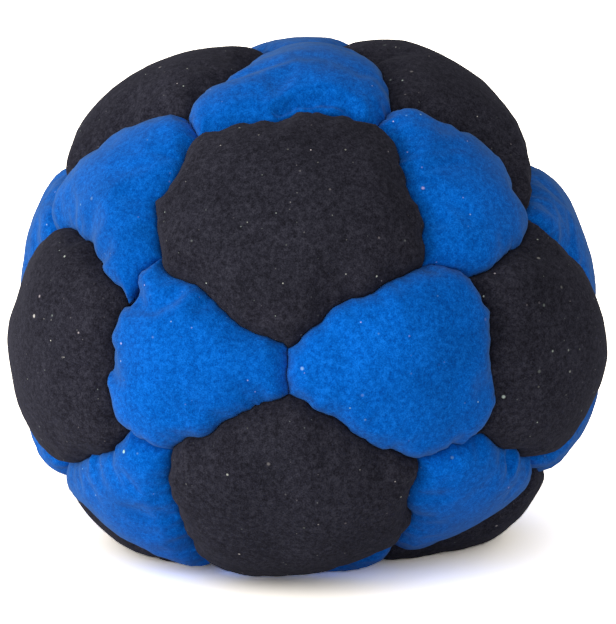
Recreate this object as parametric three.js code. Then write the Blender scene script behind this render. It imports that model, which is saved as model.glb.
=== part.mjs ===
// A ball of 32 sewn suede panels filled with sand, as it lies on a table: twelve black pentagons, twenty blue
// hexagons, the thread in their seams and the sand inside.
// Millimetres, +Z up, the front of the ball towards -Y. The origin is on the table, under the ball's middle.
import * as THREE from "three";

// Shape of the filled ball, measured from its middle.
const GIRTH_RADIUS = 28.5;
const TOP_REACH = 28.7;
const BOTTOM_REACH = 23.4;
const REST_DEPTH = 19.7; // where the table presses the base flat
const TOP_ROUNDNESS = 2.02; // 2 is an ellipse, more is boxier
const BOTTOM_ROUNDNESS = 2.25;

// How the ball has rolled on the table, in degrees about X, Y and Z.
const LEAN = -4.3;
const ROLL = -1.2;
const TURN = -2.8;

// Panels: the black ones reach this share of the way to the next black one.
const BLACK_REACH = 0.435;
const SIDE_SEGMENTS = 4;
const SIDE_BOW = 0.4; // how far the side of a black panel bows out into the blue one

// Cushion of each panel: it rolls down into its seams over the shoulder, and its crown stands proud of them.
const SHOULDER_WIDTH = 5;
const SHOULDER_DROP = 1;
const CROWN_RISE = 1.6;
const CROWN_FADE = 4;

// Cloth, seams and filling.
const CLOTH = 0.8; // thickness of the suede
const SEAM_GAP = 0.6; // between two panels at their seam
const SEAM_ALLOWANCE = 2.2; // edge turned into the ball
const THREAD_WIDTH = 0.36;
const THREAD_HEIGHT = 0.6;
const THREAD_DEPTH = 0.45; // below the bottom of the crease
const SAND_CLEARANCE = 0.4;

// Rows of points between a panel's middle and its seams, as shares of the way, and the row on its shoulder.
const OUTER_ROWS = [0.4, 0.75];
const INNER_ROW = 0.55;
const SHOULDER_ROW = 0.95;

const UP = new THREE.Vector3(0, 0, 1);
const GOLDEN = (1 + Math.sqrt(5)) / 2;
const NEXT_BLACK_ANGLE = Math.atan(2); // between the middles of two neighbouring black panels

// Directions of the black panels' middles before the ball rolled: the corners of an icosahedron.
const BLACK_MIDDLES = {
  front_upper: [0, -GOLDEN, 1],
  front_lower: [0, -GOLDEN, -1],
  left_front: [-GOLDEN, -1, 0],
  right_front: [GOLDEN, -1, 0],
  top_left: [-1, 0, GOLDEN],
  top_right: [1, 0, GOLDEN],
  base_left: [-1, 0, -GOLDEN],
  base_right: [1, 0, -GOLDEN],
  left_back: [-GOLDEN, 1, 0],
  right_back: [GOLDEN, 1, 0],
  back_upper: [0, GOLDEN, 1],
  back_lower: [0, GOLDEN, -1],
};

// The three black panels that each blue panel lies between.
const BLUE_NEIGHBOURS = {
  top_front: ["front_upper", "top_left", "top_right"],
  front_upper_left: ["front_upper", "top_left", "left_front"],
  front_upper_right: ["front_upper", "top_right", "right_front"],
  front_left: ["front_upper", "front_lower", "left_front"],
  front_right: ["front_upper", "front_lower", "right_front"],
  front_lower_left: ["front_lower", "left_front", "base_left"],
  front_lower_right: ["front_lower", "right_front", "base_right"],
  base_front: ["front_lower", "base_left", "base_right"],
  left_upper: ["left_front", "left_back", "top_left"],
  left_lower: ["left_front", "left_back", "base_left"],
  right_upper: ["right_front", "right_back", "top_right"],
  right_lower: ["right_front", "right_back", "base_right"],
  top_back: ["back_upper", "top_left", "top_right"],
  back_upper_left: ["back_upper", "top_left", "left_back"],
  back_upper_right: ["back_upper", "top_right", "right_back"],
  back_left: ["back_upper", "back_lower", "left_back"],
  back_right: ["back_upper", "back_lower", "right_back"],
  back_lower_left: ["back_lower", "left_back", "base_left"],
  back_lower_right: ["back_lower", "right_back", "base_right"],
  base_back: ["back_lower", "base_left", "base_right"],
};

// Hand sewing and the sagging of the sand: how far these seam corners lie from their even place, [east, north]
// in millimetres. "a>b" is the corner of black panel a that points at black panel b.
const CORNER_WANDER = {
  "front_upper>top_left": [-0.5, -2],
  "front_upper>top_right": [0.2, -0.7],
  "front_upper>right_front": [0, -1],
  "front_upper>front_lower": [0, -0.3],
  "top_left>front_upper": [0.3, -1.2],
  "top_left>left_back": [0.4, 0.5],
  "top_left>left_front": [0, -1.3],
  "top_right>front_upper": [-1, -1],
  "top_right>right_front": [-3.4, -3.6],
  "top_right>top_left": [-0.8, -0.4],
  "left_front>front_upper": [0.6, -1.7],
  "left_front>top_left": [0.6, -0.7],
  "left_front>front_lower": [0.4, 0.9],
  "left_front>base_left": [0.3, 1.4],
  "right_front>front_upper": [1, 0],
  "right_front>front_lower": [1.4, 0.2],
  "right_front>top_right": [-3.5, -0.4],
  "right_front>base_right": [-1.8, 1.2],
  "front_lower>left_front": [0.7, 1.7],
  "front_lower>right_front": [-0.3, 0.5],
  "front_lower>base_left": [-1.2, -0.7],
  "front_lower>base_right": [2, 2.6],
  "base_left>left_front": [-0.3, 2.2],
  "base_right>right_front": [-1, 2.9],
  "base_left>left_back": [0.3, 1.8],
  "base_right>right_back": [-0.4, 2],
  "back_lower>base_left": [1.2, 0.4],
  "back_lower>base_right": [-1.5, 0.8],
  "back_lower>left_back": [0.6, 0.3],
  "back_lower>right_back": [-0.3, 0.9],
  "left_back>base_left": [0.4, 0.7],
  "left_back>top_left": [-0.6, -0.4],
  "left_back>back_upper": [0.7, -0.9],
  "right_back>back_upper": [0.5, 0.7],
  "right_back>top_right": [-0.4, -0.8],
  "back_upper>top_right": [0.4, -1.2],
  "back_upper>left_back": [0.5, -0.6],
  "top_left>back_upper": [0.5, 0.4],
};

// Sides that bow differently: of each blue panel, how far the black panel's side bows into it, in millimetres.
// Where it is negative the blue panel is the one that bulges.
const SIDE_BOWS = {
  top_front: { front_upper: 0, top_right: -1.2, top_left: 0.9 },
  front_upper_left: { front_upper: 0.9, top_left: -1.5, left_front: 1.9 },
  front_upper_right: { front_upper: 0.8, top_right: -2.4, right_front: -0.8 },
  front_left: { front_upper: 0.8, front_lower: 0.4, left_front: -1.2 },
  front_right: { front_upper: -0.1, front_lower: -0.7, right_front: -1.9 },
  front_lower_left: { front_lower: 0.8, left_front: 0.6, base_left: 0.2 },
  base_front: { front_lower: 1.4 },
  front_lower_right: { front_lower: 0.1, right_front: 0.2, base_right: -1.6 },
  left_upper: { top_left: -0.9 },
  left_lower: { left_back: -1.1, base_left: 0.8 },
  right_upper: { right_front: 0.8, top_right: -1.6 },
  right_lower: { right_front: 1.6, right_back: -0.9 },
  top_back: { top_left: -1, back_upper: 0.7 },
  back_left: { back_upper: -0.8, left_back: 0.9 },
  back_right: { right_back: -1.4, back_lower: 0.8 },
  back_upper_left: { left_back: -0.7 },
  back_upper_right: { top_right: -1.2, back_upper: 0.9 },
  back_lower_left: { back_lower: -0.5 },
  back_lower_right: { right_back: 1, back_lower: -0.6 },
};

// Where the sand has pushed the ball out, or left it slack: millimetres at the middle of a panel, or halfway
// between the middles of two.
const SWELLS = {
  top_left: -0.4,
  "top_left+left_upper": 1.1,
  top_right: 0.2,
  "top_right+top_back": 0.5,
  "top_right+right_upper": -0.5,
  top_front: 0.1,
  top_back: 0.2,
  "top_front+top_back": -1,
  left_upper: -1.8,
  left_front: 0.5,
  left_lower: -0.9,
  right_upper: -0.6,
  right_front: 2,
  right_lower: -0.4,
  front_lower: 0.4,
  front_lower_right: -0.4,
  "front_lower_right+base_right": -1.2,
  base_left: 0.4,
  base_right: 1.2,
  "base_front+base_right": -1.1,
  back_left: 0.5,
  back_upper: -0.5,
  right_back: 0.4,
};
const SWELL_SPREAD = 0.4; // radians

const MATERIALS = {
  black_suede: { color: 0x2c2d36, roughness: 0.95, metalness: 0 },
  blue_suede: { color: 0x1259ad, roughness: 0.95, metalness: 0 },
  thread: { color: 0x17171b, roughness: 0.7, metalness: 0 },
  sand: { color: 0xcbb78d, roughness: 1, metalness: 0 },
};

const rolled = new THREE.Euler(...[LEAN, ROLL, TURN].map(THREE.MathUtils.degToRad));

// Direction of the middle of each panel, black and blue, as the ball lies.
const middles = {};
for (const [black, xyz] of Object.entries(BLACK_MIDDLES)) {
  middles[black] = new THREE.Vector3(...xyz).normalize().applyEuler(rolled);
}
for (const [blue, neighbours] of Object.entries(BLUE_NEIGHBOURS)) {
  middles[blue] = new THREE.Vector3();
  neighbours.forEach((black) => middles[blue].add(middles[black]));
  middles[blue].normalize();
}

// ---- Directions on the ball ----

function eastAndNorth(direction) {
  const east = new THREE.Vector3().crossVectors(UP, direction).normalize();
  const north = new THREE.Vector3().crossVectors(direction, east);
  return [east, north];
}

function seamCorner(black, other) {
  const corner = middles[black].clone().lerp(middles[other], BLACK_REACH).normalize();
  const [eastward, northward] = CORNER_WANDER[`${black}>${other}`] ?? [0, 0];
  const [east, north] = eastAndNorth(corner);
  corner.addScaledVector(east, eastward / GIRTH_RADIUS);
  corner.addScaledVector(north, northward / GIRTH_RADIUS);
  return corner.normalize();
}

// Directions along the seam between a black and a blue panel, without its last corner.
function bowedSide(from, to, black, blue) {
  const reach = SIDE_BOWS[blue]?.[black] ?? SIDE_BOW;
  const away = new THREE.Vector3().crossVectors(from, to).normalize();
  if (away.dot(middles[black]) > 0) away.negate();
  return Array.from({ length: SIDE_SEGMENTS }, (_, step) => {
    const share = step / SIDE_SEGMENTS;
    const bow = (4 * share * (1 - share) * reach) / GIRTH_RADIUS;
    const onChord = from.clone().multiplyScalar(1 - share).addScaledVector(to, share).normalize();
    return onChord.addScaledVector(away, bow).normalize();
  });
}

function counterClockwise(names, middle) {
  const [east, north] = eastAndNorth(middle);
  const bearing = (name) => Math.atan2(middles[name].dot(north), middles[name].dot(east));
  return [...names].sort((a, b) => bearing(a) - bearing(b));
}

function nextBlacks(black) {
  const close = (name) => middles[black].angleTo(middles[name]) < NEXT_BLACK_ANGLE + 0.01;
  return Object.keys(BLACK_MIDDLES).filter((name) => name !== black && close(name));
}

// ---- Seam lines of the panels, counter-clockwise from outside ----

function blueBetween(...blacks) {
  const nextTo = (blue, black) => BLUE_NEIGHBOURS[blue].includes(black);
  return Object.keys(BLUE_NEIGHBOURS).find((blue) => blacks.every((black) => nextTo(blue, black)));
}

function blackSeam(black) {
  const others = counterClockwise(nextBlacks(black), middles[black]);
  return others.flatMap((other, i) => {
    const after = others[(i + 1) % others.length];
    const blue = blueBetween(black, other, after);
    return bowedSide(seamCorner(black, other), seamCorner(black, after), black, blue);
  });
}

function blueSeam(blue) {
  const around = counterClockwise(BLUE_NEIGHBOURS[blue], middles[blue]);
  return around.flatMap((black, i) => {
    const before = around[(i + 2) % 3];
    const after = around[(i + 1) % 3];
    const last = seamCorner(black, after);
    return [...bowedSide(seamCorner(black, before), last, black, blue), last];
  });
}

// ---- One panel laid flat: its seam line as a plane figure around its middle ----

class Panel {
  constructor(seam) {
    this.seam = seam;
    this.middle = new THREE.Vector3();
    seam.forEach((direction) => this.middle.add(direction));
    this.middle.normalize();
    [this.east, this.north] = eastAndNorth(this.middle);
    this.outline = seam.map((direction) => this.flat(direction));
    this.sides = this.outline.map((point, i) => {
      const next = this.outline[(i + 1) % seam.length];
      return new THREE.Line3(point, next);
    });
  }

  flat(direction) {
    const scale = GIRTH_RADIUS / direction.dot(this.middle);
    return new THREE.Vector3(direction.dot(this.east), direction.dot(this.north), 0).multiplyScalar(scale);
  }

  direction(point) {
    const along = this.middle.clone().multiplyScalar(GIRTH_RADIUS);
    return along.addScaledVector(this.east, point.x).addScaledVector(this.north, point.y).normalize();
  }

  seamDistance(point) {
    const nearest = new THREE.Vector3();
    const distanceTo = (side) => side.closestPointToPoint(point, true, nearest).distanceTo(point);
    return Math.min(...this.sides.map(distanceTo));
  }

  // The row of points that lies a distance inside the seam line.
  inset(distance) {
    const inward = this.sides.map((side) => {
      const along = side.delta(new THREE.Vector3());
      return new THREE.Vector3().crossVectors(UP, along).normalize();
    });
    return this.outline.map((point, i) => {
      const before = inward[(i + inward.length - 1) % inward.length];
      const mitre = distance / (1 + before.dot(inward[i]));
      return point.clone().addScaledVector(before, mitre).addScaledVector(inward[i], mitre);
    });
  }

  // The row of points a share of the way from the middle of the panel to its seam line.
  shareOfTheWay(share) {
    return this.outline.map((point) => point.clone().multiplyScalar(share));
  }

  // Points on the outside of the ball, moved inwards by a depth.
  below(depth, row) {
    return row.map((point) => {
      const direction = this.direction(point);
      return movedIn(outside(direction, this.seamDistance(point)), depth);
    });
  }
}

// ---- Shape of the filled ball ----

function bodyRadius(direction) {
  const above = direction.z > 0;
  const roundness = above ? TOP_ROUNDNESS : BOTTOM_ROUNDNESS;
  const level = Math.hypot(direction.x, direction.y) / GIRTH_RADIUS;
  const height = Math.abs(direction.z) / (above ? TOP_REACH : BOTTOM_REACH);
  return (level ** roundness + height ** roundness) ** (-1 / roundness);
}

function swell(direction) {
  let total = 0;
  for (const [panels, height] of Object.entries(SWELLS)) {
    const place = new THREE.Vector3();
    panels.split("+").forEach((panel) => place.add(middles[panel]));
    total += height * Math.exp(-((direction.angleTo(place) / SWELL_SPREAD) ** 2));
  }
  return total;
}

function cushionDrop(seamDistance) {
  const toShoulder = 1 - Math.min(seamDistance / SHOULDER_WIDTH, 1);
  const rolledDown = SHOULDER_DROP * (1 - Math.sqrt(1 - toShoulder ** 2));
  return rolledDown + CROWN_RISE * Math.exp(-seamDistance / CROWN_FADE);
}

function outside(direction, seamDistance) {
  const radius = bodyRadius(direction) + swell(direction) - cushionDrop(seamDistance);
  const point = direction.clone().multiplyScalar(radius);
  if (point.z < -REST_DEPTH) point.multiplyScalar(-REST_DEPTH / point.z);
  return point;
}

function movedIn(point, depth) {
  return point.clone().setLength(point.length() - depth);
}

// ---- Solids: skins between rows of points ----

// Joins each row to the next. A row is a closed loop of points, or a single point.
function skin(rows) {
  const count = Math.max(...rows.map((row) => row.length));
  const triangles = [];
  for (let r = 0; r + 1 < rows.length; r++) {
    for (let i = 0; i < count; i++) {
      const [a, a2] = [i, i + 1].map((k) => rows[r][k % rows[r].length]);
      const [b, b2] = [i, i + 1].map((k) => rows[r + 1][k % rows[r + 1].length]);
      if (b !== b2) triangles.push(a, b, b2);
      if (a !== a2) triangles.push(a, b2, a2);
    }
  }
  return triangles;
}

const MIDDLE = [new THREE.Vector3()];
const EDGE_INSET = SEAM_GAP / 2;
const TURNED_INSET = EDGE_INSET + CLOTH;
const POCKET_INSET = TURNED_INSET + SAND_CLEARANCE;

// A dished piece of suede, its edge turned into the ball all round.
function panelSkin(panel) {
  const edge = panel.inset(EDGE_INSET);
  const turned = panel.inset(TURNED_INSET);
  const inner = panel.shareOfTheWay(INNER_ROW);
  return skin([
    panel.below(0, MIDDLE),
    ...OUTER_ROWS.map((share) => panel.below(0, panel.shareOfTheWay(share))),
    panel.below(0, panel.inset(SHOULDER_ROW)),
    panel.below(0, edge),
    panel.below(SEAM_ALLOWANCE, edge),
    panel.below(SEAM_ALLOWANCE + CLOTH / 2, turned),
    panel.below(CLOTH, turned),
    panel.below(CLOTH, inner),
    panel.below(CLOTH, MIDDLE),
  ]);
}

// The half of the thread that lies on one panel's side of its seams.
function threadSkin(panel) {
  return skin([
    panel.below(THREAD_DEPTH + THREAD_HEIGHT / 2, panel.outline),
    panel.below(THREAD_DEPTH, panel.inset(THREAD_WIDTH / 2)),
    panel.below(THREAD_DEPTH - THREAD_HEIGHT / 2, panel.outline),
  ]);
}

// The sand under one panel: it fills the panel and passes under the turned edges.
function sandSkin(panel) {
  const pocket = panel.inset(POCKET_INSET);
  const underCloth = CLOTH + SAND_CLEARANCE;
  const underEdge = SEAM_ALLOWANCE + CLOTH / 2 + SAND_CLEARANCE;
  return skin([
    panel.below(underCloth, MIDDLE),
    panel.below(underCloth, panel.shareOfTheWay(INNER_ROW)),
    panel.below(underCloth + SAND_CLEARANCE, pocket),
    panel.below(underEdge + SAND_CLEARANCE, pocket),
    panel.below(underEdge, panel.outline),
  ]);
}

function addPiece(group, name, material, triangles) {
  const geometry = new THREE.BufferGeometry().setFromPoints(triangles);
  geometry.computeVertexNormals();
  const mesh = new THREE.Mesh(geometry, new THREE.MeshStandardMaterial(MATERIALS[material]));
  mesh.name = name;
  mesh.material.name = material;
  group.add(mesh);
}

// ---- The ball ----

const ball = new THREE.Group();
ball.name = "juggling_ball";
const panels = [];

for (const black of Object.keys(BLACK_MIDDLES)) {
  const panel = new Panel(blackSeam(black));
  panels.push(panel);
  addPiece(ball, `black_${black}`, "black_suede", panelSkin(panel));
}
for (const blue of Object.keys(BLUE_NEIGHBOURS)) {
  const panel = new Panel(blueSeam(blue));
  panels.push(panel);
  addPiece(ball, `blue_${blue}`, "blue_suede", panelSkin(panel));
}
addPiece(ball, "seam_thread", "thread", panels.flatMap(threadSkin));
addPiece(ball, "sand_fill", "sand", panels.flatMap(sandSkin));
ball.position.z = REST_DEPTH;

export default ball;
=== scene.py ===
"""A sand-filled ball sewn from 32 suede panels, lying on a pale floor.

The frame holds each panel as a faceted shell. Every panel is built again here as fine cloth, with seam lines
that follow the shell's edge. Lengths are in millimetres from the middle of the ball until a mesh is made,
and then in metres.
"""

import itertools
import math

import bmesh
import bpy
import numpy as np
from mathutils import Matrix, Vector
from mathutils.geometry import delaunay_2d_cdt


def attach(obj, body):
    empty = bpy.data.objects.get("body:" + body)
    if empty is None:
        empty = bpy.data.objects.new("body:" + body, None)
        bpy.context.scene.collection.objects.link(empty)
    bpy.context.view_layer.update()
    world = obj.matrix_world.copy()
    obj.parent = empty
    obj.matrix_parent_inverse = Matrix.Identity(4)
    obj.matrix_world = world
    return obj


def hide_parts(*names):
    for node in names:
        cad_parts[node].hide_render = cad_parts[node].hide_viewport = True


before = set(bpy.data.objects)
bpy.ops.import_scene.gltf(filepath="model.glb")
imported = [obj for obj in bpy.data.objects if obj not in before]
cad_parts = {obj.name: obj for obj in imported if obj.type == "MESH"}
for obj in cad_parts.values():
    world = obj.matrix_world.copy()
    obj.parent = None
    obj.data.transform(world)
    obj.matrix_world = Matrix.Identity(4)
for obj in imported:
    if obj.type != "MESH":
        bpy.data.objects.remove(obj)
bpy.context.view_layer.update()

MM = 0.001

# ---- The filled ball, measured from its middle ----
REST_DEPTH = 19.7
GIRTH_RADIUS = 28.5
TOP_REACH, BOTTOM_REACH = 28.7, 23.4
TOP_ROUNDNESS, BOTTOM_ROUNDNESS = 2.02, 2.25
PRESS_SOFTNESS = 0.25

# Where the sand pushes the ball out, or leaves it slack: at a panel's middle, or between two panels' middles.
SWELLS = {
    "blue_top_front": 0.1,
    "blue_top_back": 0.2,
    "blue_top_front+blue_top_back": -1.0,
    "black_top_left": -0.4,
    "black_top_left+blue_left_upper": 1.1,
    "black_top_right": 0.2,
    "black_top_right+blue_top_back": 0.5,
    "black_top_right+blue_right_upper": -0.5,
    "blue_left_upper": -1.8,
    "black_left_front": 0.8,
    "blue_left_lower": -0.9,
    "blue_right_upper": -0.6,
    "black_right_front": 2.0,
    "blue_right_lower": -0.4,
    "black_front_lower": 0.4,
    "blue_front_lower_right": -0.4,
    "blue_front_lower_right+black_base_right": -1.2,
    "black_base_left": 0.4,
    "black_base_right": 1.2,
    "blue_base_front+black_base_right": -1.1,
    "blue_back_left": 0.5,
    "black_back_upper": -0.5,
    "black_right_back": 0.4,
}
SWELL_SPREAD = 0.4  # radians

# ---- Cushion of a panel ----
SHOULDER_WIDTH, SHOULDER_DROP = 2.4, 1.2
CROWN_RISE, CROWN_FADE = 1.65, 4.2
SIDE_BLEND = 5.0

# ---- Cloth and seams ----
CLOTH = 0.7
LINING_LEAN = 1.6  # how far from the seam the lining leans in, in thicknesses of cloth
EDGE_GAP = 0.3
SKIRT_ROWS = ((0.35, 0.02), (1.0, 0.18), (2.0, 0.25))
SEAM_STEP = 0.36
GRID_STEP = 0.46
RING_INSETS = (0.04, 0.13, 0.28, 0.5)
MEETING_REACH, NEIGHBOUR_COSINE = 0.6, 0.3

# Black panels whose tips all but meet, and how the short seam between them is drawn up.
NECKS = (("black_top_right", "black_right_front"),)
NECK_PULL, NECK_SIZE, NECK_WIDTH = 0.86, 3.0, 0.85

# Where the sewing strays: a place [east, north] on a panel, how far its seams move, and over what reach.
SEAM_STRAYS = (
    ("black_front_upper", (6.2, -11.2), (-0.6, 1.1), 2.8),
    ("black_front_upper", (-12.2, -6.0), (-0.8, 0.2), 2.0),
    ("black_front_upper", (-13.0, -1.0), (-0.7, 0.3), 3.0),
    ("black_front_upper", (1.6, 11.0), (0.0, 0.8), 1.9),
    ("blue_front_upper_right", (8.5, -2.2), (-1.3, 0.2), 3.2),
    ("black_front_lower", (12.8, 0.3), (-1.0, 0.2), 1.7),
    ("blue_front_right", (10.0, 1.4), (-1.0, 0.0), 5.0),
)

# ---- Sewing: ripples of the seam lines and the puckers beside them ----
RIPPLE_PITCH, RIPPLE_REACH = 2.4, 0.38
SCALLOP_PITCH, SCALLOP_REACH = 2.1, 0.4
FRAY_PITCH, FRAY_REACH = 1.0, 0.14
WANDER_PITCH, WANDER_REACH = 4.6, 0.65
PUCKER_PITCH, PUCKER_DEPTH, PUCKER_FADE = 2.0, 0.26, 1.3
PINCH_PITCH, PINCH_DEPTH, PINCH_FADE = 2.3, 0.4, 1.1
PLEAT_PITCH, PLEAT_DEPTH, PLEAT_FADE = 4.2, 0.45, 2.8
CORNER_PIT, CORNER_PIT_SIZE = 0.5, 1.5
DENT_PITCH, DENT_DEPTH = 10.0, 0.5
LUMP_PITCH, LUMP_DEPTH = 4.2, 0.16
GRAIN_PITCH, GRAIN_DEPTH = 1.1, 0.035
INLAND_FADE, OFF_SEAM_FADE, PINCH_WIDTH = 2.5, 0.3, 0.22

# Folds pressed into a panel: lines in its own millimetres [east, north], with their depth and half width.
FOLDS = {
    "blue_top_front": [(((-1.2, -7.2), (0.6, -6.0), (3.0, -5.5), (5.2, -5.8), (7.0, -6.8)), 0.9, 0.5),
                       (((-6.0, -1.5), (-1.9, -0.3), (2.3, 0.2), (6.0, -1.0)), 0.3, 1.1)],
    "blue_front_lower_right": [(((2.0, 8.4), (1.9, 7.2), (1.7, 5.9), (1.9, 4.8)), 0.9, 0.35)],
    "black_front_lower": [(((12.2, 2.4), (10.6, 3.0), (8.8, 3.2)), 0.4, 0.5)],
    "blue_front_left": [(((-4.6, 5.6), (-2.6, 5.4), (-0.8, 6.4)), 0.45, 0.8)],
}

# ---- Cloth simulation: sheets pinned along their seams and filled out by the sand ----
SHEET_STEP = 0.8
SHEET_SCALE = 0.02
SHEET_FRAMES = 20
SHEET_EXCESS = 0.04
SHEET_START, SHEET_START_FADE = 0.45, 1.5
SHEET_PRESSURE = 4.0
SHEET_CAP = 0.8
BULGE_FADE, CARRY_COUNT, CARRY_SHARPNESS = 0.6, 6, 2.5

# ---- Suede: the nap from roots to tips, a painted sheen that pales the colour where the cloth turns edge-on, and specks of sand dust ----
# Of each suede, one pale colour is a painted sheen, mixed into the base colour where the cloth turns edge-on;
# it also tints the shader's own sheen.
BLACK = dict(deep=(0.0085, 0.008, 0.011, 1), mid=(0.0182, 0.0176, 0.0252, 1), pale=(0.034, 0.033, 0.044, 1),
             painted_sheen=(0.062, 0.06, 0.077, 1), painted_sheen_share=0.4,
             speck=(0.6, 0.6, 0.52, 1), speck_share=0.42, sheen=0.03)
BLUE = dict(deep=(0.0006, 0.052, 0.27, 1), mid=(0.001, 0.088, 0.4, 1), pale=(0.004, 0.132, 0.54, 1),
            painted_sheen=(0.085, 0.155, 0.28, 1), painted_sheen_share=0.65,
            speck=(0.55, 0.7, 0.85, 1), speck_share=0.22, sheen=0.08)
NAP_SIZE, TUFT_SIZE, PATCH_SIZE, BRUSH_SIZE = 0.13, 0.42, 3.5, 15.0
TONE_SWING, PAINTED_SHEEN_POWER = 0.12, 2.5
SPECK_PITCHES = ((2.6, 0.2, 1.0), (1.3, 0.13, 1.0), (0.6, 0.08, 0.4))  # cell, dot size, share of the specks

# ---- Thread and sand ----
THREAD_RADIUS, THREAD_SINK = 0.1, 0.55
STITCH, STITCH_SWING, STITCH_STEP = 1.15, 0.14, 0.13
SAND_SINK, SAND_ROUGHNESS = 0.5, 0.16

# ---- Stage, in metres ----
CAMERA_ELEVATION, CAMERA_DISTANCE = math.radians(11), 0.300
CAMERA_LENS, CAMERA_SHIFT = 185.4, (0.0056, 0.0327)
SKY_STRENGTH = 0.98
SKY_TOWARDS = (-0.33, -0.35, -0.36)
FLOOR_BOUNCE = (1.25, 1.25, 1.25, 1)
FLOOR_SEEN = (3.45, 3.26, 2.98, 1)
FLOOR_HALF = 3.0
KEY_PLACE, KEY_TARGET, KEY_SIZE, KEY_POWER = (-0.82, -0.6, 0.12), (0, 0, 0.02), 0.5, 9.0

CORNER_TURN = math.radians(26)  # a turn of the edge sharper than this is a corner of the panel
UP = np.array((0.0, 0.0, 1.0))
MIDDLE = np.array((0.0, 0.0, REST_DEPTH))


# ---- Small helpers ----

def unit(vectors):
    return vectors / np.linalg.norm(vectors, axis=-1, keepdims=True)


GRADIENTS = unit(np.random.default_rng(11).normal(size=(256, 3)))


def noise_at(points, pitch, seed):
    """Smooth noise from about -1 to 1 at points, with features about one pitch apart."""
    places = points / pitch + seed * 7.31
    cell = np.floor(places).astype(np.int64)
    part = places - cell
    fade = part ** 3 * (part * (part * 6 - 15) + 10)
    total = np.zeros(len(points))
    for corner in itertools.product((0, 1), repeat=3):
        near = cell + corner
        mixed = near[:, 0] * 73856093 ^ near[:, 1] * 19349663 ^ near[:, 2] * 83492791 ^ seed * 2654435
        gradient = GRADIENTS[mixed % 256]
        weight = np.where(corner, fade, 1 - fade).prod(1)
        total += weight * (gradient * (part - corner)).sum(1)
    return total * 1.7


def softened_floor(height, floor, softness):
    """height, but never below floor, with the corner between them rounded."""
    return floor + softness * np.logaddexp(0, (height - floor) / softness)


# ---- A panel laid flat around its middle ----

class Panel:
    def __init__(self, name):
        self.name = name
        points = node_points(name)
        directions = unit(points)
        self.middle = unit(directions.mean(0))
        self.east = unit(np.cross(UP, self.middle))
        self.north = np.cross(self.middle, self.east)
        edge = self.edge_of(self.flat(directions))
        self.middle = unit(self.lift(edge).mean(0))
        self.east = unit(np.cross(UP, self.middle))
        self.north = np.cross(self.middle, self.east)
        edge = self.edge_of(self.flat(directions))
        self.sides = [self.seam_side(side) for side in split_at_corners(edge)]
        self.outline = np.vstack([side[:-1] for side in self.sides])

    def flat(self, directions):
        scale = GIRTH_RADIUS / (directions @ self.middle)
        return np.stack((directions @ self.east, directions @ self.north), -1) * scale[..., None]

    def lift(self, flat):
        across = flat[..., :1] * self.east + flat[..., 1:] * self.north
        return unit(self.middle * GIRTH_RADIUS + across)

    @staticmethod
    def edge_of(flat):
        """The turned edge in order: of pairs of points one behind the other, the outer ones."""
        gaps = np.linalg.norm(flat[:, None] - flat[None], axis=-1)
        behind = (gaps < 0.05).sum(1) > 1
        found = []
        for point in flat[behind & (np.linalg.norm(flat, axis=1) > 1)]:
            if all(np.linalg.norm(point - other) > 0.05 for other in found):
                found.append(point)
        found = np.array(found)
        gaps = np.linalg.norm(found[:, None] - found[None], axis=-1)
        np.fill_diagonal(gaps, np.inf)
        partner = gaps.argmin(1)
        reach = np.linalg.norm(found, axis=1)
        edge = found[reach > reach[partner]]
        return edge[np.argsort(np.arctan2(edge[:, 1], edge[:, 0]))]

    @staticmethod
    def seam_side(side):
        """One side as fine points on a smooth curve through its ends and its middle."""
        start, end = side[0], side[-1]
        bow = side[len(side) // 2] - (start + end) / 2 if len(side) > 2 else np.zeros(2)
        count = max(4, round(np.linalg.norm(end - start) / SEAM_STEP))
        share = np.linspace(0, 1, count + 1)[:, None]
        return start * (1 - share) + end * share + 4 * share * (1 - share) * bow

    def tips(self):
        """The corners, on the ball."""
        return self.lift(np.array([side[0] for side in self.sides])) * GIRTH_RADIUS

    def finish_outline(self, necks, strays):
        """Moves the outline out to the seam line and ripples it, the same way for both panels of a seam."""
        seam = self.outline + EDGE_GAP * -mitres(self.outline)
        directions = self.lift(seam)
        on_ball = directions * GIRTH_RADIUS
        shift = np.zeros_like(on_ball)
        for axis, along in enumerate(np.eye(3)):
            ripple = noise_at(on_ball, RIPPLE_PITCH, 3 + axis) * RIPPLE_REACH
            scallop = (0.3 - np.abs(noise_at(on_ball, SCALLOP_PITCH, 23 + axis))) * SCALLOP_REACH
            wander = noise_at(on_ball, WANDER_PITCH, 13 + axis) * WANDER_REACH
            fray = noise_at(on_ball, FRAY_PITCH, 33 + axis) * FRAY_REACH
            shift += (ripple + scallop + wander + fray)[:, None] * along
        for centre, axis in necks:
            offset = on_ball - centre
            close = np.exp(-(offset ** 2).sum(1) / NECK_SIZE ** 2)
            across = unit(np.cross(centre, axis))
            pull = (offset @ axis) * NECK_PULL * close
            widen = np.tanh((offset @ across) / NECK_WIDTH) * NECK_WIDTH * close
            shift += widen[:, None] * across - pull[:, None] * axis
        for place, step, reach in strays:
            away = ((on_ball - place) ** 2).sum(1)
            shift += np.exp(-away / reach ** 2)[:, None] * step
        self.outline = self.flat(unit(on_ball + shift))

    def place_sides(self):
        """Splits the finished outline into its sides again."""
        starts = np.cumsum([0] + [len(side) - 1 for side in self.sides])
        closed = np.vstack((self.outline, self.outline[:1]))
        self.sides = [closed[a:b + 1] for a, b in zip(starts[:-1], starts[1:])]
        self.corners = self.outline[starts[:-1]]


def stray(panel, place, step, reach):
    """One entry of SEAM_STRAYS as a place and a step on the ball."""
    return panel.lift(np.array(place)) * GIRTH_RADIUS, step[0] * panel.east + step[1] * panel.north, reach


def neck_between(first, second):
    """Middle and direction of the short seam between the nearest tips of two black panels."""
    pairs = itertools.product(first.tips(), second.tips())
    start, end = min(pairs, key=lambda pair: np.linalg.norm(pair[0] - pair[1]))
    return (start + end) / 2, unit(end - start)


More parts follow.
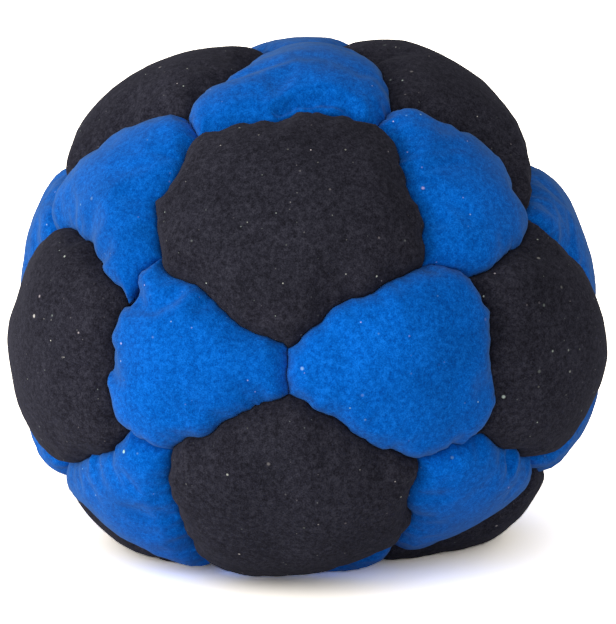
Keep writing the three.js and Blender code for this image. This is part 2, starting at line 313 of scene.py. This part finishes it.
def meet(panels):
    """Moves every outline halfway to its neighbours', so that the two panels of a seam share one line."""
    loops = [panel.lift(panel.outline) * GIRTH_RADIUS for panel in panels]
    for panel, loop in zip(panels, loops):
        others = [k for k, other in enumerate(panels)
                  if other is not panel and other.middle @ panel.middle > NEIGHBOUR_COSINE]
        found = [nearest_on_line(loop, np.vstack((loops[k], loops[k][:1]))) for k in others]
        gaps = np.array([gap for gap, _ in found])
        best = gaps.argmin(0)
        rows = np.arange(len(loop))
        places = np.array([place for _, place in found])[best, rows]
        close = (gaps[best, rows] < MEETING_REACH)[:, None]
        panel.outline = panel.flat(unit(np.where(close, (loop + places) / 2, loop)))
        panel.neighbours = [panels[others[k]] for k in best]


def node_points(name):
    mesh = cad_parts[name].data
    flat = np.empty(len(mesh.vertices) * 3, np.float32)
    mesh.vertices.foreach_get("co", flat)
    return np.unique(np.round(flat.reshape(-1, 3) / MM - MIDDLE, 3), axis=0)


def split_at_corners(edge):
    along = np.roll(edge, -1, 0) - edge
    heading = np.arctan2(along[:, 1], along[:, 0])
    turn = (heading - np.roll(heading, 1) + math.pi) % (2 * math.pi) - math.pi
    corners = np.flatnonzero(turn > CORNER_TURN)
    ends = np.append(corners[1:], corners[0] + len(edge))
    return [edge[np.arange(a, b + 1) % len(edge)] for a, b in zip(corners, ends)]


def mitres(outline):
    """For each point of a closed outline, the step that moves it in by 1 mm from both its sides."""
    along = unit(np.roll(outline, -1, 0) - outline)
    inward = np.stack((-along[:, 1], along[:, 0]), -1)
    before = np.roll(inward, 1, 0)
    return (before + inward) / np.maximum(1 + (before * inward).sum(1), 0.4)[:, None]


def nearest_on_line(points, line):
    """Distance from each point to an open line, and the nearest place on it."""
    start, step = line[:-1], line[1:] - line[:-1]
    share = ((points[:, None] - start) * step).sum(-1) / (step ** 2).sum(-1)
    places = start + np.clip(share, 0, 1)[..., None] * step
    gaps = np.linalg.norm(points[:, None] - places, axis=-1)
    best = gaps.argmin(1)
    rows = np.arange(len(points))
    return gaps[rows, best], places[rows, best]


# ---- Shape of the cloth ----

def body_radius(directions):
    above = directions[:, 2] > 0
    roundness = np.where(above, TOP_ROUNDNESS, BOTTOM_ROUNDNESS)
    reach = np.where(above, TOP_REACH, BOTTOM_REACH)
    level = np.hypot(directions[:, 0], directions[:, 1]) / GIRTH_RADIUS
    return (level ** roundness + (np.abs(directions[:, 2]) / reach) ** roundness) ** (-1 / roundness)


def swell(directions):
    total = np.zeros(len(directions))
    for names, height in SWELLS.items():
        place = unit(sum(middles[name] for name in names.split("+")))
        away = np.arccos(np.clip(directions @ place, -1, 1)) / SWELL_SPREAD
        total += height * np.exp(-away ** 2)
    return total


def cushion_drop(distance):
    to_shoulder = 1 - np.minimum(distance / SHOULDER_WIDTH, 1)
    rolled = SHOULDER_DROP * (1 - np.sqrt(np.maximum(0, 1 - to_shoulder ** 2)))
    return rolled + CROWN_RISE * np.exp(-distance / CROWN_FADE)


def seam_distances(panel, flat):
    """Distance to the seams, blended where two sides are about as far, and the nearest place on them."""
    gaps, places = zip(*(nearest_on_line(flat, side) for side in panel.sides))
    gaps = np.array(gaps)
    nearest = gaps.argmin(0)
    rows = np.arange(len(flat))
    blended = (np.maximum(gaps, 1e-3) ** -SIDE_BLEND).sum(0) ** (-1 / SIDE_BLEND)
    return blended, gaps.min(0), np.array(places)[nearest, rows]


def outside(panel, flat, seams=None):
    """Points of the cloth's outside above flat places of a panel."""
    directions = panel.lift(flat)
    blended, nearest, seam_place = seams or seam_distances(panel, flat)
    on_ball = directions * GIRTH_RADIUS
    on_seam = panel.lift(seam_place) * GIRTH_RADIUS
    radius = body_radius(directions) + swell(directions) - cushion_drop(blended)
    inland = 1 - np.exp(-nearest / INLAND_FADE)
    radius += DENT_DEPTH * noise_at(on_ball, DENT_PITCH, 31) * inland
    radius += LUMP_DEPTH * noise_at(on_ball, LUMP_PITCH, 37) * inland
    radius += GRAIN_DEPTH * noise_at(on_ball, GRAIN_PITCH, 41)
    off_seam = 1 - np.exp(-nearest / OFF_SEAM_FADE)
    puckers = np.exp(-nearest / PUCKER_FADE) * noise_at(on_seam, PUCKER_PITCH, 43)
    pleats = np.exp(-nearest / PLEAT_FADE) * np.minimum(noise_at(on_seam, PLEAT_PITCH, 47), 0)
    radius += off_seam * (PUCKER_DEPTH * puckers + PLEAT_DEPTH * pleats)
    pinches = np.maximum(0, 1 - np.abs(noise_at(on_seam, PINCH_PITCH, 53)) / PINCH_WIDTH) ** 2
    radius -= off_seam * PINCH_DEPTH * pinches * np.exp(-nearest / PINCH_FADE)
    for corner in panel.corners:
        away = np.linalg.norm(flat - corner, axis=1)
        radius -= CORNER_PIT * np.exp(-(away / CORNER_PIT_SIZE) ** 2)
    for line, depth, width in FOLDS.get(panel.name, ()):
        away, _ = nearest_on_line(flat, np.array(line))
        radius -= depth * np.exp(-(away / width) ** 2) * off_seam
    return pressed(directions * radius[:, None])


def pressed(points):
    """Points below the table moved up to it along their own rays."""
    height = softened_floor(points[:, 2], -REST_DEPTH, PRESS_SOFTNESS)
    below = points[:, 2] < -1
    scale = np.where(below, height / np.minimum(points[:, 2], -1), 1)
    return points * scale[:, None]


def on_table(points):
    """Points that would go through the table kept level with it."""
    return np.column_stack((points[:, :2], np.maximum(points[:, 2], -REST_DEPTH)))


def moved_in(points, depth):
    return points * (1 - depth / np.linalg.norm(points, axis=1))[:, None]


# ---- Fine mesh of a panel ----

def inside_points(outline, insets, step):
    rings = [outline + mitres(outline) * inset for inset in insets]
    low, high = outline.min(0), outline.max(0)
    rows = np.arange(low[1], high[1], step * math.sqrt(0.75))
    grid = []
    for i, y in enumerate(rows):
        xs = np.arange(low[0] + (i % 2) * step / 2, high[0], step)
        grid.append(np.stack((xs, np.full_like(xs, y)), -1))
    grid = np.vstack(grid)
    gaps, _ = nearest_on_line(grid, np.vstack((outline, outline[:1])))
    clearance = (insets[-1] if insets else 0) + step * 0.6
    grid = grid[inside_outline(grid, outline) & (gaps > clearance)]
    return np.vstack(rings + [grid])


def inside_outline(points, outline):
    ahead = np.roll(outline, -1, 0)
    crosses = (outline[:, 1] > points[:, None, 1]) != (ahead[:, 1] > points[:, None, 1])
    rise = np.where(ahead[:, 1] == outline[:, 1], 1e-9, ahead[:, 1] - outline[:, 1])
    at = outline[:, 0] + (points[:, None, 1] - outline[:, 1]) / rise * (ahead[:, 0] - outline[:, 0])
    return (crosses & (points[:, None, 0] < at)).sum(1) % 2 == 1


def flat_mesh(outline, insets, step):
    """Triangles over a panel laid flat. The outline's points come first, in order."""
    points = np.vstack((outline, inside_points(outline, insets, step)))
    loop = list(range(len(outline)))
    made = delaunay_2d_cdt([Vector(p) for p in points], [], [loop], 1, 1e-6)
    origins = made[3]
    first = [min(source) if source else len(points) for source in origins]
    order = np.argsort(first, kind="stable")
    place = np.empty(len(order), int)
    place[order] = np.arange(len(order))
    flat = np.array([tuple(made[0][i]) for i in order])
    triangles = place[np.array([face for face in made[2]])]
    return flat, triangles


def thickened(panel, flat, triangles, seams, bulge):
    """A closed skin: outside, turned edge, lining. bulge moves each outside point, and its lining with it."""
    count = len(panel.outline)
    _, nearest, seam_place = seams
    outer = on_table(outside(panel, flat, seams) + bulge)
    inward = flat - seam_place
    inward[:count] = mitres(panel.outline)
    inward = inward / np.maximum(np.linalg.norm(inward, axis=1, keepdims=True), 1e-6)
    lining_flat = flat + inward * (CLOTH * np.exp(-nearest / (LINING_LEAN * CLOTH)))[:, None]
    lining = moved_in(on_table(outside(panel, lining_flat) + bulge), CLOTH)
    border = outer[:count]
    depth_of = np.linalg.norm(border, axis=1)
    rows = [border]
    for depth, lean in SKIRT_ROWS:
        ray = panel.lift(panel.outline + mitres(panel.outline) * lean)
        rows.append(ray * (depth_of - depth)[:, None])
    ray = panel.lift(lining_flat[:count])
    rows.append(ray * (depth_of - SKIRT_ROWS[-1][0] - 0.1)[:, None])
    lining_row = len(outer) + len(rows[1:]) * count
    points = np.vstack([outer] + rows[1:] + [lining])
    faces = [tuple(t) for t in triangles]
    starts = [0] + [len(outer) + k * count for k in range(len(rows) - 1)] + [lining_row]
    for top, bottom in zip(starts[:-1], starts[1:]):
        for i in range(count):
            j = (i + 1) % count
            faces.append((top + i, bottom + i, bottom + j, top + j))
    faces += [tuple(lining_row + k for k in t[::-1]) for t in triangles]
    return points, faces


def add_mesh(name, points, faces, material):
    mesh = bpy.data.meshes.new(name)
    mesh.from_pydata(((points + MIDDLE) * MM).tolist(), [], faces)
    mesh.validate()
    mesh.shade_smooth()
    mesh.materials.append(material)
    piece = bpy.data.objects.new(name, mesh)
    bpy.context.scene.collection.objects.link(piece)
    return piece


# ---- Materials ----

class Nodes:
    """A short way to write node trees: each call adds a node and gives back its main output."""

    def __init__(self, owner):
        owner.use_nodes = True
        self.owner = owner
        self.tree = owner.node_tree
        self.tree.nodes.clear()

    def add(self, kind, inputs=None, output=0, **settings):
        node = self.tree.nodes.new(kind)
        for key, value in settings.items():
            setattr(node, key, value)
        for key, value in (inputs or {}).items():
            if isinstance(value, bpy.types.NodeSocket):
                self.tree.links.new(value, node.inputs[key])
            else:
                node.inputs[key].default_value = value
        return node.outputs[output] if node.outputs else None

    def math(self, operation, a, b=0.0, clamp=False):
        return self.add("ShaderNodeMath", {0: a, 1: b}, operation=operation, use_clamp=clamp)

    def noise(self, place, size, detail=2.0, roughness=0.5):
        """Noise with features about size millimetres across."""
        inputs = {"Vector": place, "Scale": 1 / (size * MM), "Detail": detail, "Roughness": roughness}
        return self.add("ShaderNodeTexNoise", inputs)

    def spread(self, value, low, high, to_low=0.0, to_high=1.0):
        inputs = {"Value": value, 1: low, 2: high, 3: to_low, 4: to_high}
        return self.add("ShaderNodeMapRange", inputs)

    def mix(self, share, a, b, blend="MIX"):
        node = self.tree.nodes.new("ShaderNodeMix")
        node.data_type = "RGBA"
        node.blend_type = blend
        for socket, value in ((0, share), (6, a), (7, b)):
            if isinstance(value, bpy.types.NodeSocket):
                self.tree.links.new(value, node.inputs[socket])
            else:
                node.inputs[socket].default_value = value
        return node.outputs[2]


def suede(name, deep, mid, pale, painted_sheen, painted_sheen_share, speck, speck_share, sheen):
    make = Nodes(bpy.data.materials.new(name))
    place = make.add("ShaderNodeTexCoord", output="Object")
    nap = make.noise(place, NAP_SIZE, 2.0, 0.6)
    tuft = make.noise(place, TUFT_SIZE, 3.0, 0.6)
    patch = make.noise(place, PATCH_SIZE, 4.0, 0.6)
    brush = make.noise(place, BRUSH_SIZE, 2.0, 0.5)
    grain = make.math("ADD", make.math("MULTIPLY", nap, 0.5), make.math("MULTIPLY", tuft, 0.5))
    colour = make.mix(make.spread(grain, 0.36, 0.5), deep, mid)
    colour = make.mix(make.spread(grain, 0.5, 0.64), colour, pale)
    tones = [make.spread(source, 0.3, 0.7, -TONE_SWING, TONE_SWING) for source in (patch, brush)]
    tone = make.math("ADD", *tones)
    colour = make.add("ShaderNodeHueSaturation", {"Value": make.math("ADD", 1.0, tone), "Color": colour})
    colour = specks(make, place, colour, speck, speck_share)
    # Painted sheen: the base colour pales towards the pale sheen colour where the cloth turns edge-on to the
    # view.
    facing = make.add("ShaderNodeLayerWeight", {"Blend": 0.5}, output=1)
    painted_sheen_mask = make.math("MULTIPLY", make.math("POWER", facing, PAINTED_SHEEN_POWER), painted_sheen_share)
    colour = make.mix(painted_sheen_mask, colour, painted_sheen)
    height = make.math("ADD", make.math("MULTIPLY", nap, 0.6), make.math("MULTIPLY", tuft, 0.6))
    bump = make.add("ShaderNodeBump", {"Strength": 0.6, "Distance": 0.1 * MM, "Height": height})
    shader = make.add("ShaderNodeBsdfPrincipled", {
        "Base Color": colour,
        "Roughness": make.spread(nap, 0.3, 0.7, 1.0, 0.88),
        "Specular IOR Level": 0.02,
        "Sheen Weight": sheen,
        "Sheen Roughness": 0.35,
        "Sheen Tint": painted_sheen,
        "Normal": bump,
    })
    make.add("ShaderNodeOutputMaterial", {"Surface": shader})
    return make.owner


def specks(make, place, colour, speck, share):
    """Sand dust caught in the nap: a small pale dot in a few cells, each of its own strength and tint."""
    for pitch, size, part in SPECK_PITCHES:
        cell = make.tree.nodes.new("ShaderNodeTexVoronoi")
        make.tree.links.new(place, cell.inputs["Vector"])
        cell.inputs["Scale"].default_value = 1 / (pitch * MM)
        chosen = make.add("ShaderNodeSeparateColor", {"Color": cell.outputs["Color"]})
        red, green, blue = chosen, chosen.node.outputs[1], chosen.node.outputs[2]
        dot = make.spread(cell.outputs["Distance"], size / pitch, size / pitch * 0.45)
        shown = make.math("MULTIPLY", dot, make.math("GREATER_THAN", red, 1 - share * part))
        shown = make.math("MULTIPLY", shown, make.spread(make.math("POWER", green, 3.0), 0.0, 1.0, 0.12, 1.0))
        hue = make.spread(blue, 0, 1, 0.3, 0.7)
        tinted = make.add("ShaderNodeHueSaturation", {"Hue": hue, "Color": speck})
        colour = make.mix(shown, colour, tinted)
    return colour


black_suede = suede("black_suede", **BLACK)
blue_suede = suede("blue_suede", **BLUE)


def thread_cord():
    make = Nodes(bpy.data.materials.new("thread"))
    place = make.add("ShaderNodeTexCoord", output="Object")
    wave = {"Vector": place, "Scale": 1 / (0.5 * MM), "Distortion": 3.0}
    twist = make.add("ShaderNodeTexWave", wave, output=1)
    fibre = make.noise(place, 0.06)
    colour = make.mix(make.spread(twist, 0.2, 0.8), (0.003, 0.003, 0.0035, 1), (0.014, 0.014, 0.017, 1))
    height = make.math("ADD", twist, make.math("MULTIPLY", fibre, 0.4))
    bump = make.add("ShaderNodeBump", {"Strength": 0.7, "Distance": 0.04 * MM, "Height": height})
    surface = {"Base Color": colour, "Roughness": make.spread(fibre, 0.3, 0.7, 0.55, 0.8), "Normal": bump}
    make.add("ShaderNodeOutputMaterial", {"Surface": make.add("ShaderNodeBsdfPrincipled", surface)})
    return make.owner


def loose_sand():
    make = Nodes(bpy.data.materials.new("sand"))
    place = make.add("ShaderNodeTexCoord", output="Object")
    grain = make.tree.nodes.new("ShaderNodeTexVoronoi")
    make.tree.links.new(place, grain.inputs["Vector"])
    grain.inputs["Scale"].default_value = 1 / (0.35 * MM)
    shade = make.add("ShaderNodeSeparateColor", {"Color": grain.outputs["Color"]})
    colour = make.mix(make.spread(shade, 0.0, 1.0), (0.09, 0.06, 0.03, 1), (0.34, 0.27, 0.16, 1))
    relief = {"Strength": 0.8, "Distance": 0.15 * MM, "Height": grain.outputs["Distance"]}
    bump = make.add("ShaderNodeBump", relief)
    surface = {"Base Color": colour, "Roughness": make.spread(shade, 0.0, 1.0, 0.5, 0.95), "Normal": bump}
    make.add("ShaderNodeOutputMaterial", {"Surface": make.add("ShaderNodeBsdfPrincipled", surface)})
    return make.owner


# ---- Cloth simulation ----

def simulated(sheets):
    """How far each point of the sheets moves when they are filled out.

    A sheet is (points, triangles, how many of its first points are the pinned border).
    """
    points = np.vstack([sheet[0] for sheet in sheets])
    starts = np.cumsum([0] + [len(sheet[0]) for sheet in sheets])
    faces = [tuple(t + start) for (_, triangles, _), start in zip(sheets, starts) for t in triangles]
    mesh = bpy.data.meshes.new("sheets")
    mesh.from_pydata((points * SHEET_SCALE).tolist(), [], faces)
    cloth_object = bpy.data.objects.new("sheets", mesh)
    bpy.context.scene.collection.objects.link(cloth_object)
    pins = cloth_object.vertex_groups.new(name="pins")
    for (_, _, border), start in zip(sheets, starts):
        pins.add([int(start + k) for k in range(border)], 1.0, "REPLACE")
    cloth = cloth_object.modifiers.new("cloth", "CLOTH")
    cloth.point_cache.frame_end = SHEET_FRAMES
    settings = cloth.settings
    settings.quality = 5
    settings.vertex_group_mass = "pins"
    settings.effector_weights.gravity = 0
    settings.use_pressure = True
    settings.uniform_pressure_force = SHEET_PRESSURE
    settings.shrink_min = -SHEET_EXCESS
    settings.bending_stiffness = 0.4
    for frame_number in range(1, SHEET_FRAMES + 1):
        bpy.context.scene.frame_set(frame_number)
    settled = cloth_object.evaluated_get(bpy.context.evaluated_depsgraph_get()).data
    moved = np.empty(len(settled.vertices) * 3, np.float32)
    settled.vertices.foreach_get("co", moved)
    bpy.data.objects.remove(cloth_object)
    bpy.context.scene.frame_set(1)
    moved = moved.reshape(-1, 3) / SHEET_SCALE - points
    return [moved[a:b] for a, b in zip(starts[:-1], starts[1:])]


def capped(steps, cap):
    reach = np.linalg.norm(steps, axis=1, keepdims=True)
    return steps * cap * np.tanh(reach / cap) / np.maximum(reach, 1e-9)


def carried_over(places, from_places, values):
    """Values at places, from the few nearest places that have them."""
    gaps = ((places[:, None] - from_places) ** 2).sum(-1)
    nearest = np.argpartition(gaps, CARRY_COUNT, axis=1)[:, :CARRY_COUNT]
    closeness = np.take_along_axis(gaps, nearest, 1) / SHEET_STEP ** 2
    weight = np.exp(-closeness * CARRY_SHARPNESS) + 1e-12
    return (values[nearest] * weight[..., None]).sum(1) / weight.sum(1, keepdims=True)


def sheet_bulges(panels):
    """Of each panel, flat places and how far the simulated cloth moved there."""
    flats, slacks, sheets = [], [], []
    for panel in panels:
        outline = panel.outline[::2]
        flat, triangles = flat_mesh(outline, (SHEET_STEP * 0.5,), SHEET_STEP)
        shape = outside(panel, flat)
        _, nearest, _ = seam_distances(panel, flat)
        shrunk = moved_in(shape, SHEET_START * (1 - np.exp(-nearest / SHEET_START_FADE)))
        flats.append(flat)
        slacks.append(shrunk - shape)
        sheets.append((shrunk, triangles, len(outline)))
    moves = [slack + step for slack, step in zip(slacks, simulated(sheets))]
    return list(zip(flats, [capped(move, SHEET_CAP) for move in moves]))


# ---- The panels ----

ball_pieces = []


def put_on_ball(piece, node):
    """Ties a finished piece to the ball, in place of one node of the frame."""
    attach(piece, "root")
    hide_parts(node)
    ball_pieces.append(piece)


panel_names = sorted(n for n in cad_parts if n.startswith(("black_", "blue_")))
panels = [Panel(name) for name in panel_names]
middles = {panel.name: panel.middle for panel in panels}
by_name = {panel.name: panel for panel in panels}
necks = [neck_between(by_name[first], by_name[second]) for first, second in NECKS]
strays = [stray(by_name[name], *entry) for name, *entry in SEAM_STRAYS]
for panel in panels:
    panel.finish_outline(necks, strays)
meet(panels)
for panel in panels:
    panel.place_sides()
bulges = sheet_bulges(panels)

for k, panel in enumerate(panels):
    flat, triangles = flat_mesh(panel.outline, RING_INSETS, GRID_STEP)
    seams = seam_distances(panel, flat)
    bulge = np.zeros((len(flat), 3))
    if bulges:
        bulge = carried_over(flat, *bulges[k]) * (1 - np.exp(-seams[1] / BULGE_FADE))[:, None]
    points, faces = thickened(panel, flat, triangles, seams, bulge)
    black = panel.name.startswith("black_")
    material = black_suede if black else blue_suede
    piece = add_mesh("panel_" + panel.name, points, faces, material)
    put_on_ball(piece, panel.name)


# ---- Thread and sand ----

def tube(path, outward, radius, sides=6):
    """A closed tube round a line of points. outward is any direction across the line at each point."""
    along = unit(np.gradient(path, axis=0))
    across = unit(np.cross(along, outward))
    up = np.cross(across, along)
    angles = np.arange(sides) * 2 * math.pi / sides
    ring = np.cos(angles)[:, None, None] * across + np.sin(angles)[:, None, None] * up
    points = (path + ring * radius).transpose(1, 0, 2).reshape(-1, 3)
    faces = [tuple(range(sides)), tuple(range(len(points) - 1, len(points) - sides - 1, -1))]
    for start in range(0, len(points) - sides, sides):
        for i in range(sides):
            j = (i + 1) % sides
            faces.append((start + i, start + sides + i, start + sides + j, start + j))
    return points, faces


def stitches(panel, side):
    """One side of a panel sewn up: thread wound round the line where the turned edges meet."""
    lengths = np.linalg.norm(np.diff(side, axis=0), axis=1)
    reached = np.concatenate(([0], np.cumsum(lengths)))
    steps = np.linspace(0, reached[-1], max(8, int(reached[-1] / STITCH_STEP)))
    flat = np.stack([np.interp(steps, reached, side[:, axis]) for axis in (0, 1)], -1)
    outward = panel.lift(flat)
    path = moved_in(outside(panel, flat), THREAD_SINK)
    sideways = unit(np.cross(unit(np.gradient(path, axis=0)), outward))
    turn = (steps * 2 * math.pi / STITCH)[:, None]
    path = path + STITCH_SWING * (np.cos(turn) * sideways + np.sin(turn) * outward)
    return tube(path, outward, THREAD_RADIUS)


def build_thread():
    parts, faces, count = [], [], 0
    for panel in panels:
        start = 0
        for side in panel.sides:
            neighbour = panel.neighbours[start + len(side) // 2]
            start += len(side) - 1
            if panel.name > neighbour.name:
                continue
            points, made = stitches(panel, side)
            parts.append(points)
            faces += [tuple(k + count for k in face) for face in made]
            count += len(points)
    piece = add_mesh("stitching", np.vstack(parts), faces, thread_cord())
    put_on_ball(piece, "seam_thread")


def build_sand():
    """The packed sand, a little inside the cloth, with a grainy surface."""
    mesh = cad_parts["sand_fill"].data.copy()
    work = bmesh.new()
    work.from_mesh(mesh)
    bmesh.ops.remove_doubles(work, verts=work.verts, dist=0.005 * MM)
    bmesh.ops.subdivide_edges(work, edges=work.edges, cuts=3, use_grid_fill=True)
    points = np.array([tuple(v.co) for v in work.verts]) / MM - MIDDLE
    grains = noise_at(points, 0.9, 61) + noise_at(points, 0.45, 67)
    points = moved_in(points, SAND_SINK + SAND_ROUGHNESS * grains)
    for vertex, point in zip(work.verts, (points + MIDDLE) * MM):
        vertex.co = point
    work.to_mesh(mesh)
    work.free()
    mesh.materials.clear()
    mesh.materials.append(loose_sand())
    mesh.shade_smooth()
    piece = bpy.data.objects.new("sand", mesh)
    bpy.context.scene.collection.objects.link(piece)
    put_on_ball(piece, "sand_fill")


build_thread()
build_sand()


# ---- Stage ----

def area_light(name, place, target, size, power, lit):
    """A soft round light that falls on one collection only."""
    light = bpy.data.lights.new(name, "AREA")
    light.shape = "DISK"
    light.size = size
    light.energy = power
    lamp = bpy.data.objects.new(name, light)
    lamp.location = place
    lamp.rotation_euler = (Vector(target) - Vector(place)).to_track_quat("-Z", "Y").to_euler()
    lamp.light_linking.receiver_collection = lit
    bpy.context.scene.collection.objects.link(lamp)


def build_floor():
    mesh = bpy.data.meshes.new("floor")
    corners = [(x * FLOOR_HALF, y * FLOOR_HALF, 0) for x, y in ((-1, -1), (1, -1), (1, 1), (-1, 1))]
    mesh.from_pydata(corners, [], [(0, 1, 2, 3)])
    make = Nodes(bpy.data.materials.new("floor"))
    seen = make.add("ShaderNodeLightPath", output=0)
    colour = make.mix(seen, FLOOR_BOUNCE, FLOOR_SEEN)
    make.add("ShaderNodeOutputMaterial", {"Surface": make.add("ShaderNodeBsdfDiffuse", {"Color": colour})})
    mesh.materials.append(make.owner)
    floor = bpy.data.objects.new("floor", mesh)
    bpy.context.scene.collection.objects.link(floor)


def build_sky():
    """Soft light from all round, strongest from the front left. It looks plain white itself."""
    make = Nodes(bpy.data.worlds.new("sky"))
    direction = make.add("ShaderNodeTexCoord", output="Generated")
    both = {0: direction, 1: SKY_TOWARDS}
    brighter = make.add("ShaderNodeVectorMath", both, output=1, operation="DOT_PRODUCT")
    strength = make.math("MULTIPLY", make.math("MAXIMUM", make.math("ADD", brighter, 1.0), 0.0), SKY_STRENGTH)
    light = make.add("ShaderNodeBackground", {"Color": (1, 1, 1, 1), "Strength": strength})
    plain = make.add("ShaderNodeBackground", {"Color": (1, 1, 1, 1), "Strength": 1.2})
    seen = make.add("ShaderNodeLightPath", output=0)
    shown = make.add("ShaderNodeMixShader", {0: seen, 1: light, 2: plain})
    make.add("ShaderNodeOutputWorld", {"Surface": shown})
    bpy.context.scene.world = make.owner


def build_camera():
    forward = Vector((0, math.cos(CAMERA_ELEVATION), -math.sin(CAMERA_ELEVATION)))
    camera = bpy.data.cameras.new("camera")
    camera.sensor_width = 36
    camera.lens = CAMERA_LENS
    camera.shift_x, camera.shift_y = CAMERA_SHIFT
    camera.clip_start = 0.01
    eye = bpy.data.objects.new("camera", camera)
    eye.location = Vector(MIDDLE) * MM - forward * CAMERA_DISTANCE
    eye.rotation_euler = forward.to_track_quat("-Z", "Y").to_euler()
    bpy.context.scene.collection.objects.link(eye)
    bpy.context.scene.camera = eye


build_floor()
build_camera()
build_sky()
lit = bpy.data.collections.new("lit_by_key")
for piece in ball_pieces:
    lit.objects.link(piece)
area_light("key", KEY_PLACE, KEY_TARGET, KEY_SIZE, KEY_POWER, lit)
bpy.context.scene.view_settings.view_transform = "Standard"
